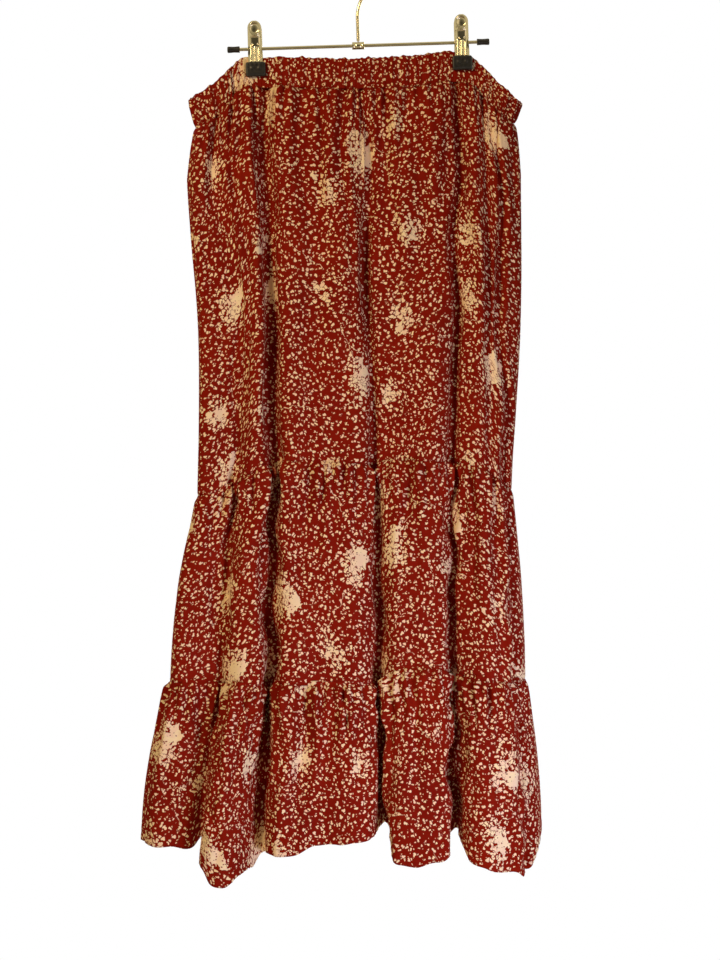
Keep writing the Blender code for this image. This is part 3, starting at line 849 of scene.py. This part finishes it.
def build_sleeve(steel, bar):
    """A tube round the bar, fixed to it by two pinches."""
    half = SLEEVE_LENGTH / 2

    def crimp(angle, along):
        pinch = sum(math.exp(-(((along - place) / 1.3) ** 2)) for place in (-PINCH_AT, PINCH_AT))
        return 0.55 * pinch * abs(math.cos(angle)) ** 2

    outer = [(SLEEVE_R - 0.5 * (abs(i - 20) == 20), between(half, -half, i / 40)) for i in range(41)]
    sleeve = [(WIRE_R + CLEAR, -half + 0.3), (WIRE_R + CLEAR, half - 0.3), *outer]
    turned_piece("crimped_sleeve", sleeve, steel, "hook_sleeve", bar, crimp)


def build_tip(node, turn, rubber):
    """A moulded cup with a slight waist, pushed on to an end of the bar."""
    half = TIP_LENGTH / 2
    waist = [TIP_R - 0.28 * math.sin(math.pi * i / 12) ** 2 for i in range(13)]
    wall = [(radius, between(-half, half - TIP_ROUND, i / 12)) for i, radius in enumerate(waist)]
    nose = [
        (TIP_R + TIP_ROUND * (math.cos(a) - 1), half + TIP_ROUND * (math.sin(a) - 1))
        for a in (0.3, 0.6, 0.9, 1.2, math.pi / 2)
    ]
    bore, depth = WIRE_R + CLEAR, half - TIP_WALL
    cup = [(bore, -half), *wall, *nose, (0.0, half), (0.0, depth), (bore, depth)]
    place = hanger_axes(middle(node)) @ Matrix.Rotation(turn, 4, "Z")
    turned_piece(node + "_cap", cup, rubber, node, place)


def build_clip(clip, steel, rubber):
    """A spring on the bar between two leaves, each with a grip on its jaw."""
    centre = middle(clip + "_spring")
    wire_piece(clip + "_coil", spring_points(), 0.6, steel, clip + "_spring", hanger_axes(centre))
    for face, turn in (("front", 0.0), ("back", math.pi)):
        about = hanger_axes(centre) @ Matrix.Rotation(turn, 4, "Z")
        build_leaf(clip + "_" + face + "_leaf", clip + "_leaf_" + face, steel, about)
        node = clip + "_grip_" + face
        grip_place = hanger_axes(middle(node)) @ Matrix.Rotation(turn, 4, "Z")
        build_grip(clip + "_" + face + "_grip", node, rubber, grip_place)


def build_hanger(steel, rubber):
    bar = hanger_axes(middle("hook_sleeve"))
    build_wires(steel, bar)
    build_sleeve(steel, bar)
    build_tip("bar_tip_left", math.pi, rubber)
    build_tip("bar_tip_right", 0.0, rubber)
    for clip in ("clip_left", "clip_right"):
        build_clip(clip, steel, rubber)


# ---------------------------------------------------------------- materials
def linear(colour):
    """An sRGB hex colour as linear values."""
    parts = [int(colour[i : i + 2], 16) / 255 for i in (1, 3, 5)]
    return (*[c / 12.92 if c <= 0.04045 else ((c + 0.055) / 1.055) ** 2.4 for c in parts], 1.0)


def new_material(name, roughness, metallic=0.0, **sockets):
    made = bpy.data.materials.new(name)
    made.use_nodes = True
    shader = made.node_tree.nodes["Principled BSDF"]
    shader.inputs["Roughness"].default_value = roughness
    shader.inputs["Metallic"].default_value = metallic
    for socket, value in sockets.items():
        shader.inputs[socket.replace("_", " ")].default_value = value
    return made, made.node_tree, shader


def add(tree, kind, *inputs, sockets=None, **settings):
    """A node with its settings; each input is a number, a node or one of a node's outputs."""
    made = tree.nodes.new("ShaderNode" + kind)
    for setting, value in settings.items():
        setattr(made, setting, value)
    for key, value in [*enumerate(inputs), *(sockets or {}).items()]:
        if value is None:
            continue
        if isinstance(value, bpy.types.Node):
            value = value.outputs[0]
        if isinstance(value, bpy.types.NodeSocket):
            tree.links.new(value, made.inputs[key])
        else:
            made.inputs[key].default_value = value
    return made


# One kind of cream mark: how far apart and how big it is, how much it grows in a crowd, the ground kept
# between two, and how far its repeat is turned. All but the last are millimetres of cloth.
Motif = namedtuple("Motif", "spacing size growth gap turn")
BOLD_FLECK = Motif(6.7, 1.36, 1.7, 0.5, 0.55)
SLIM_FLECK = Motif(6.4, 0.62, 0.6, 0.5, 1.1)
CROWD_FLECK = Motif(4.6, 0.32, 2.0, 0.32, 0.3)
ISLAND_GAP, SPECK_GAP, SPRIG_GAP = 96, 3.6, 62


def print_marks(tree, at, swirl, crowd, motif):
    """How far inside a cream mark each point lies, in millimetres.

    There is one mark to a cell of the repeat, a heart, a sliver or a bow tie. Where the print crowds, the
    marks grow until they meet.
    """
    place = add(tree, "VectorMath", at, (31 * motif.turn, 83 * motif.turn, 0), operation="ADD")
    place = add(tree, "VectorRotate", place, sockets={"Angle": motif.turn}, rotation_type="Z_AXIS")
    repeat = {"Scale": 1 / motif.spacing, "Randomness": 0.82}
    cell = add(tree, "TexVoronoi", place, sockets=repeat, voronoi_dimensions="2D")
    edge = add(tree, "TexVoronoi", place, sockets=repeat, voronoi_dimensions="2D", feature="DISTANCE_TO_EDGE")
    luck = add(tree, "SeparateColor", cell.outputs["Color"])
    away = add(tree, "VectorMath", place, cell.outputs["Position"], operation="SUBTRACT")
    reach = add(tree, "VectorMath", away, operation="LENGTH").outputs["Value"]
    sides = add(tree, "SeparateXYZ", away)
    bearing = add(tree, "Math", sides.outputs[1], sides.outputs[0], operation="ARCTAN2")
    bearing = add(tree, "Math", bearing, swirl, operation="ADD")
    turned = add(tree, "Math", luck.outputs[0], 3.4, bearing, operation="MULTIPLY_ADD")
    thirds = add(tree, "Math", add(tree, "Math", turned, 3.0, operation="MULTIPLY"), operation="COSINE")
    halves = add(tree, "Math", add(tree, "Math", turned, 2.0, operation="MULTIPLY"), operation="COSINE")
    pinch = add(tree, "Math", luck.outputs[1], 0.36, 0.14, operation="MULTIPLY_ADD")
    outline = add(tree, "Math", halves, pinch, 1.0, operation="MULTIPLY_ADD")
    outline = add(tree, "Math", thirds, 0.2, outline, operation="MULTIPLY_ADD")
    grown = add(tree, "Math", luck.outputs[2], 0.85 * motif.size, 0.55 * motif.size, operation="MULTIPLY_ADD")
    grown = add(tree, "Math", crowd, motif.growth, grown, operation="MULTIPLY_ADD")
    inside = add(tree, "Math", grown, outline, operation="MULTIPLY")
    inside = add(tree, "Math", inside, reach, operation="SUBTRACT")
    room = add(tree, "Math", edge.outputs["Distance"], motif.spacing, -motif.gap, operation="MULTIPLY_ADD")
    room = add(tree, "Math", crowd, motif.gap, room, operation="MULTIPLY_ADD")
    return add(tree, "Math", inside, room, operation="MINIMUM"), luck


def printed_viscose(name, reverse=False):
    """Viscose crepe, woven plain and dyed brick red, its pattern discharged to cream.

    The eye gets a soft matte ground with a faint bloom at grazing light, crisp cream flecks 2 to 5 mm
    long, islands of cream with dark specks, and the fine grain of crepe yarn. On the reverse the print
    shows through paler.
    """
    sheen = {"Sheen_Weight": 0.005, "Sheen_Roughness": 0.5, "Sheen_Tint": linear("#e8b9a0")}
    made, tree, shader = new_material(name, 0.84, Specular_IOR_Level=0.09, **sheen)
    cut = add(tree, "UVMap", uv_map="cut")
    flat = add(tree, "VectorMath", cut, (1000, 1000, 0), operation="MULTIPLY")  # millimetres of cloth

    def shifted(size, detail, amount, at=flat):
        """The cloth's plan pushed about by noise, so that what is drawn on it wanders."""
        push = add(tree, "TexNoise", flat, None, 1 / size, detail, noise_dimensions="2D")
        push = add(tree, "VectorMath", push.outputs["Color"], (0.5, 0.5, 0.5), operation="SUBTRACT")
        return add(tree, "VectorMath", push, (amount, amount, 0), at, operation="MULTIPLY_ADD")

    inked = shifted(2.4, 1.0, 0.9, shifted(85, 1.0, 11))
    swirl = add(tree, "TexNoise", flat, None, 1 / 70, 1.0, noise_dimensions="2D")
    swirl = add(tree, "Math", swirl, 11.0, operation="MULTIPLY")

    # Islands of cream: a solid heart with a ragged shore, and a crowd of flecks to one side.
    drifted = shifted(14, 2.0, 14, shifted(60, 1.0, 30))
    spread = {"Scale": 1 / ISLAND_GAP, "Randomness": 0.95}
    island = add(tree, "TexVoronoi", drifted, sockets=spread, voronoi_dimensions="2D")
    luck = add(tree, "SeparateColor", island.outputs["Color"])
    breadth = add(tree, "MapRange", luck.outputs[0], 0.0, 1.0, 1.0, 11.0)
    from_heart = add(tree, "VectorMath", drifted, island.outputs["Position"], operation="SUBTRACT")
    core = add(tree, "VectorMath", from_heart, operation="LENGTH").outputs["Value"]
    core = add(tree, "Math", breadth, core, operation="SUBTRACT")
    shore = add(tree, "TexNoise", flat, None, 1 / 8, 2.0, noise_dimensions="2D")
    shore = add(tree, "Math", shore, 22.0, -11.0, operation="MULTIPLY_ADD")
    core = add(tree, "Math", core, shore, operation="ADD")
    core = add(tree, "MapRange", core, -0.5, 1.5, 0.0, 1.0)
    lean = add(tree, "VectorMath", island.outputs["Color"], (0.5, 0.5, 0.5), operation="SUBTRACT")
    leaning = add(tree, "VectorMath", lean, (32, 32, 0), from_heart, operation="MULTIPLY_ADD")
    halo = add(tree, "VectorMath", leaning, (1.0, 0.72, 0), operation="MULTIPLY")
    halo = add(tree, "VectorMath", halo, operation="LENGTH").outputs["Value"]
    halo = add(tree, "Math", halo, breadth, operation="SUBTRACT")
    halo = add(tree, "Math", halo, shore, operation="SUBTRACT")
    crowd = add(tree, "MapRange", halo, -3.0, 16.0, 0.85, 0.0)
    crowd = add(tree, "Math", crowd, core, operation="MAXIMUM")

    # Slim flecks keep clear of the bold ones, and the smallest come only where the print crowds.
    bold, bold_luck = print_marks(tree, inked, swirl, crowd, BOLD_FLECK)
    slim, _ = print_marks(tree, inked, swirl, crowd, SLIM_FLECK)
    dense, _ = print_marks(tree, inked, swirl, crowd, CROWD_FLECK)
    apart = add(tree, "Math", -0.95, bold, operation="SUBTRACT")
    slim = add(tree, "Math", slim, apart, operation="MINIMUM")
    beside = add(tree, "Math", -0.34, bold, operation="SUBTRACT")
    dense = add(tree, "Math", dense, beside, operation="MINIMUM")
    crowded = add(tree, "MapRange", crowd, 0.3, 0.5, -3.0, 0.0)
    dense = add(tree, "Math", dense, crowded, operation="ADD")
    cream = add(tree, "Math", bold, slim, operation="MAXIMUM")
    cream = add(tree, "Math", cream, dense, operation="MAXIMUM")
    cream = add(tree, "Math", core, 1.7, cream, operation="MULTIPLY_ADD")

    # Specks of ground are left in the islands.
    speck = add(tree, "TexVoronoi", inked, None, 1 / SPECK_GAP, voronoi_dimensions="2D")
    speck_luck = add(tree, "SeparateColor", speck.outputs["Color"])
    speck_size = add(tree, "Math", speck_luck.outputs[1], 1.7, -0.8, operation="MULTIPLY_ADD")
    clear = add(tree, "Math", speck.outputs["Distance"], SPECK_GAP, operation="MULTIPLY")
    clear = add(tree, "Math", clear, speck_size, operation="SUBTRACT")
    cream = add(tree, "Math", cream, clear, operation="MINIMUM")
    cream = add(tree, "MapRange", cream, -0.16, 0.16, 0.0, 1.0)

    # Sprigs: broken curved lines of cream.
    bent = shifted(24, 3.0, 36)
    edges = {"voronoi_dimensions": "2D", "feature": "DISTANCE_TO_EDGE"}
    vein = add(tree, "TexVoronoi", bent, None, 1 / SPRIG_GAP, **edges).outputs["Distance"]
    vein = add(tree, "MapRange", vein, 0.3 / SPRIG_GAP, 0.75 / SPRIG_GAP, 1.0, 0.0)
    where = add(tree, "TexNoise", flat, None, 1 / 55, 1.0, noise_dimensions="2D")
    where = add(tree, "MapRange", where, 0.55, 0.6, 0.0, 1.0)
    beads = add(tree, "TexNoise", flat, None, 1 / 3, 0.0, noise_dimensions="2D")
    beads = add(tree, "MapRange", beads, 0.45, 0.5, 0.0, 1.0)
    sprig = add(tree, "Math", where, beads, operation="MULTIPLY")
    sprig = add(tree, "Math", vein, sprig, operation="MULTIPLY")
    cream = add(tree, "Math", cream, sprig, operation="MAXIMUM")

    # The dye takes a little unevenly, and two creams were printed.
    reds = ("#921a02", "#770c00") if not reverse else ("#7a1a0c", "#681207")
    creams = ("#ffebba", "#fbdcb6") if not reverse else ("#b06a50", "#a9604a")
    reds, creams = ({6: linear(pair[0]), 7: linear(pair[1])} for pair in (reds, creams))
    dye = add(tree, "TexNoise", flat, None, 1 / 70, 4.0, 0.6, noise_dimensions="2D")
    ground = add(tree, "Mix", dye, sockets=reds, data_type="RGBA").outputs[2]
    printed = add(tree, "Mix", bold_luck, sockets=creams, data_type="RGBA").outputs[2]
    colour = add(tree, "Mix", cream, sockets={6: ground, 7: printed}, data_type="RGBA")
    tree.links.new(colour.outputs[2], shader.inputs["Base Color"])

    # Crepe yarn is 0.3 mm across; its grain is drawn at 1.3 mm so that it shows. Under a seam the cloth
    # is ruched in puckers finer than the net, 3.6 mm apart and 40 mm long.
    grain = add(tree, "TexNoise", flat, None, 1 / 1.3, 2.0, noise_dimensions="2D")
    stretch = add(tree, "VectorMath", flat, (1 / 3.6, 1 / 40, 0), operation="MULTIPLY")
    ruche = add(tree, "TexNoise", stretch, None, 1.0, 2.0, noise_dimensions="2D")
    gathered = add(tree, "Attribute", attribute_name="gathered")
    ruche = add(tree, "Math", ruche, gathered.outputs["Fac"], operation="MULTIPLY")
    relief = add(tree, "Math", grain, 0.35, operation="MULTIPLY")
    relief = add(tree, "Math", ruche, 7.0, relief, operation="MULTIPLY_ADD")
    bump = add(tree, "Bump", sockets={"Height": relief, "Strength": 0.5, "Distance": 0.0004})
    tree.links.new(bump.outputs[0], shader.inputs["Normal"])
    rough = add(tree, "MapRange", grain, 0.3, 0.7, 0.78, 0.9)
    tree.links.new(rough.outputs[0], shader.inputs["Roughness"])
    return made


def chromed_steel(name):
    """Steel, stamped or drawn and chromium plated: bright, with faint wavy draw marks and handling haze."""
    made, tree, shader = new_material(name, 0.14, metallic=1.0)
    where = add(tree, "TexCoord").outputs["Object"]
    haze = add(tree, "TexNoise", where, None, 1 / (6.25 * MM), 3.0)
    tones = {6: linear("#c9bf9f"), 7: linear("#aba184")}
    tone = add(tree, "Mix", haze, sockets=tones, data_type="RGBA")
    tree.links.new(tone.outputs[2], shader.inputs["Base Color"])
    rough = add(tree, "MapRange", haze, 0.3, 0.75, 0.1, 0.22)
    tree.links.new(rough.outputs[0], shader.inputs["Roughness"])
    wavy = add(tree, "TexNoise", where, None, 1 / (16.667 * MM), 1.0)
    bump = add(tree, "Bump", sockets={"Height": wavy, "Strength": 0.25, "Distance": 0.0004})
    tree.links.new(bump.outputs[0], shader.inputs["Normal"])
    return made


def black_rubber(name):
    """Natural rubber filled with carbon black and moulded: near black, satin, with a bloom of dust."""
    made, tree, shader = new_material(name, 0.5, Specular_IOR_Level=0.4)
    where = add(tree, "TexCoord").outputs["Object"]
    dust = add(tree, "TexNoise", where, None, 1 / (2.381 * MM), 4.0)
    tones = {6: linear("#0d0b09"), 7: linear("#191613")}
    tone = add(tree, "Mix", dust, sockets=tones, data_type="RGBA")
    tree.links.new(tone.outputs[2], shader.inputs["Base Color"])
    rough = add(tree, "MapRange", dust, 0.3, 0.7, 0.3, 0.5)
    tree.links.new(rough.outputs[0], shader.inputs["Roughness"])
    bump = add(tree, "Bump", sockets={"Height": dust, "Strength": 0.2, "Distance": 0.0002})
    tree.links.new(bump.outputs[0], shader.inputs["Normal"])
    return made


# ---------------------------------------------------------------- light, floor and camera
# A lamp's place and what it is aimed at, its size in metres, its watts, and its spread in degrees.
Lamp = namedtuple("Lamp", "name place target size watts colour spread")
LAMPS = (
    Lamp("key", (-1.2, -1.6, 0.5), (0, 0, -0.3), (0.42, 0.42), 24, "#ffdca8", 180),
    Lamp("fill", (1.0, -1.25, -1.3), (0.14, 0, -0.9), (0.6, 0.5), 2.4, "#dcd8ff", 60),
    Lamp("room", (1.4, -1.9, -0.3), (0, 0, -0.4), (1.2, 1.0), 3, "#ffe9cf", 180),
    Lamp("back_key", (0.9, 1.9, 0.3), (0, 0, -0.5), (1.2, 1.2), 36, "#fff4e6", 180),
)
FLOOR_Z, FLOOR_R = -1.45, 1.3
EYE = (0.0048, -3.212, -0.583)
EYE_TO_SKIRT = 3.2
VIEW_HEIGHT = 1.075  # of the skirt's plane, from the top of the picture to its foot


def build_lamp(lamp):
    light = bpy.data.lights.new(lamp.name, "AREA")
    light.shape = "RECTANGLE"
    light.size, light.size_y = lamp.size
    light.energy = lamp.watts
    light.color = linear(lamp.colour)[:3]
    light.spread = math.radians(lamp.spread)
    made = bpy.data.objects.new(lamp.name, light)
    bpy.context.scene.collection.objects.link(made)
    made.visible_camera = False
    made.location = lamp.place
    made.rotation_euler = (Vector(lamp.target) - made.location).to_track_quat("-Z", "Y").to_euler()


def build_world():
    """A white room, dim on the cloth, which the chrome mirrors as bright to the sides and dark ahead."""
    world = bpy.data.worlds.new("studio")
    world.use_nodes = True
    tree = world.node_tree
    backdrop = tree.nodes["Background"]
    backdrop.inputs["Color"].default_value = linear("#fff0da")
    backdrop.inputs["Strength"].default_value = 0.1
    seen = add(tree, "Background", linear("#ffffff"), 1.0)
    ahead = add(tree, "SeparateXYZ", add(tree, "TexCoord").outputs["Generated"])
    ahead = add(tree, "Math", ahead.outputs[1], operation="ABSOLUTE")
    glow = add(tree, "MapRange", ahead, 0.75, 0.99, 0.95, 0.1)
    mirrored = add(tree, "Background", linear("#fff3d0"), glow)
    ray = add(tree, "LightPath")
    mixed = add(tree, "MixShader", ray.outputs["Is Glossy Ray"], backdrop, mirrored)
    mixed = add(tree, "MixShader", ray.outputs["Is Camera Ray"], mixed, seen)
    tree.links.new(mixed.outputs[0], tree.nodes["World Output"].inputs["Surface"])
    bpy.context.scene.world = world


def build_floor():
    bpy.ops.mesh.primitive_circle_add(vertices=96, radius=FLOOR_R, fill_type="NGON", location=(0, 0, FLOOR_Z))
    floor = bpy.context.object
    floor.name = "floor"
    made, tree, shader = new_material("pale_floor", 0.9)
    grain = add(tree, "TexNoise", None, None, 1 / (25 * MM), 3.0)
    tones = {6: linear("#f1eee8"), 7: linear("#eae6df")}
    tone = add(tree, "Mix", grain, sockets=tones, data_type="RGBA")
    tree.links.new(tone.outputs[2], shader.inputs["Base Color"])
    floor.data.materials.append(made)


def build_camera():
    eye = bpy.data.cameras.new("camera")
    eye.lens = eye.sensor_width * EYE_TO_SKIRT / VIEW_HEIGHT
    camera = bpy.data.objects.new("camera", eye)
    bpy.context.scene.collection.objects.link(camera)
    camera.location = EYE
    camera.rotation_euler = (math.pi / 2, 0, 0)
    bpy.context.scene.camera = camera


def main():
    bpy.context.scene.view_settings.view_transform = "Standard"
    build_world()
    for lamp in LAMPS:
        build_lamp(lamp)
    build_floor()
    build_camera()
    cloth = printed_viscose("printed_viscose_crepe")
    reverse = printed_viscose("viscose_crepe_reverse", reverse=True)
    build_waistband(cloth)
    build_tiers(cloth, reverse)
    build_hanger(chromed_steel("chromed_steel"), black_rubber("black_rubber"))


main()
